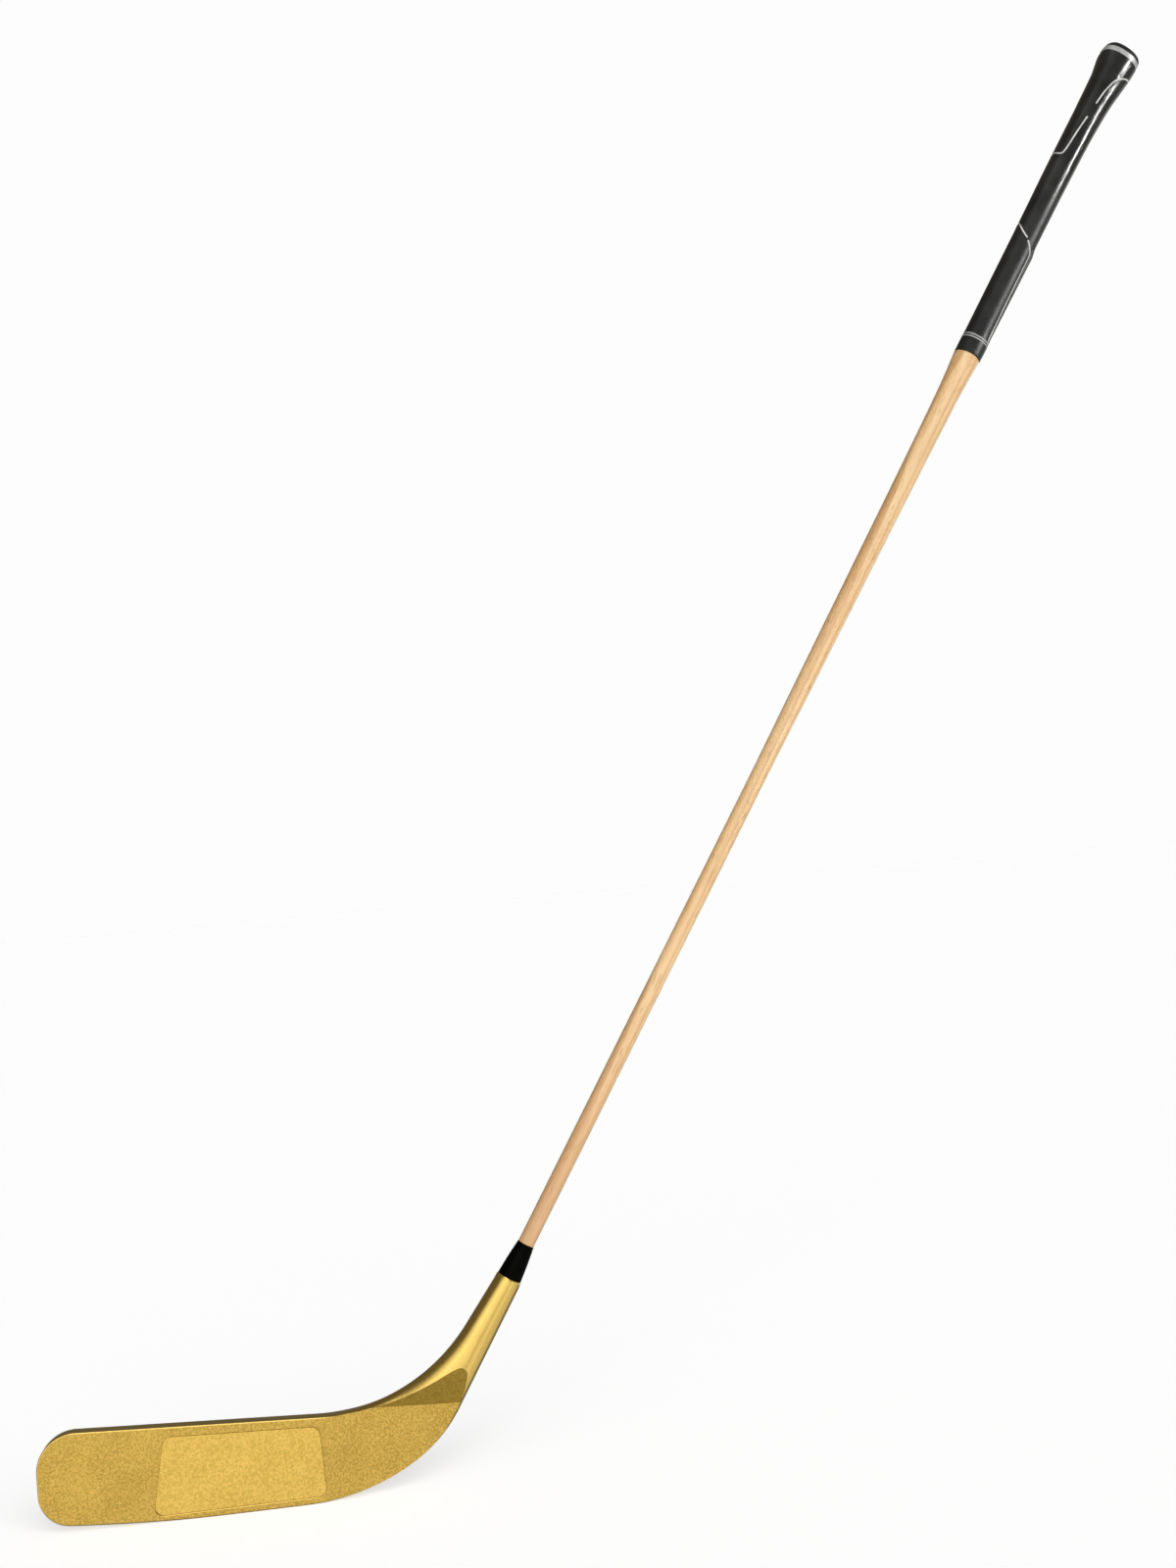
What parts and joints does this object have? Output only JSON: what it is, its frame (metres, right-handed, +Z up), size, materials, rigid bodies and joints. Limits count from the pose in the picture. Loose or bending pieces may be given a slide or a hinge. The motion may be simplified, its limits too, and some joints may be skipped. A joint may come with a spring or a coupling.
{
  "type": "hockey stick golf putter",
  "caption": "Golf putter whose gold metal head is shaped like a hockey blade, with a face insert, black ferrule, tapered wooden shaft and black pistol grip",
  "frame": {"origin": "middle of the flat stretch of the sole, where the blade rests on the ground", "axes": "+Z up at address; -X towards the toe and +X towards the hands; -Y out of the striking face"},
  "size_m": [0.8616, 0.0268, 0.982],
  "materials": {
    "gold_head": "gold anodised over a fine bead blast, satin on the neck",
    "gold_insert": "brighter gold anodising over a coarser blast",
    "bonding_film": "cured adhesive film",
    "epoxy": "cured epoxy",
    "ferrule_black": "polished black",
    "shaft_wood": "straight-grained pale wood under a thin satin varnish",
    "tape": "double-sided tape",
    "grip_rubber": "fine-textured black rubber with light grey paint-filled lines",
    "ring_grey": "satin light grey",
    "cap_rubber": "smooth satin black rubber"
  },
  "bodies": {
    "root": {"head": "gold_head", "face_insert": "gold_insert", "insert_adhesive": "bonding_film", "hosel_epoxy": "epoxy", "ferrule": "ferrule_black", "shaft": "shaft_wood", "grip_tape": "tape", "grip_sleeve": "grip_rubber", "butt_ring": "ring_grey", "grip_cap": "cap_rubber"}
  },
  "joints": []
}
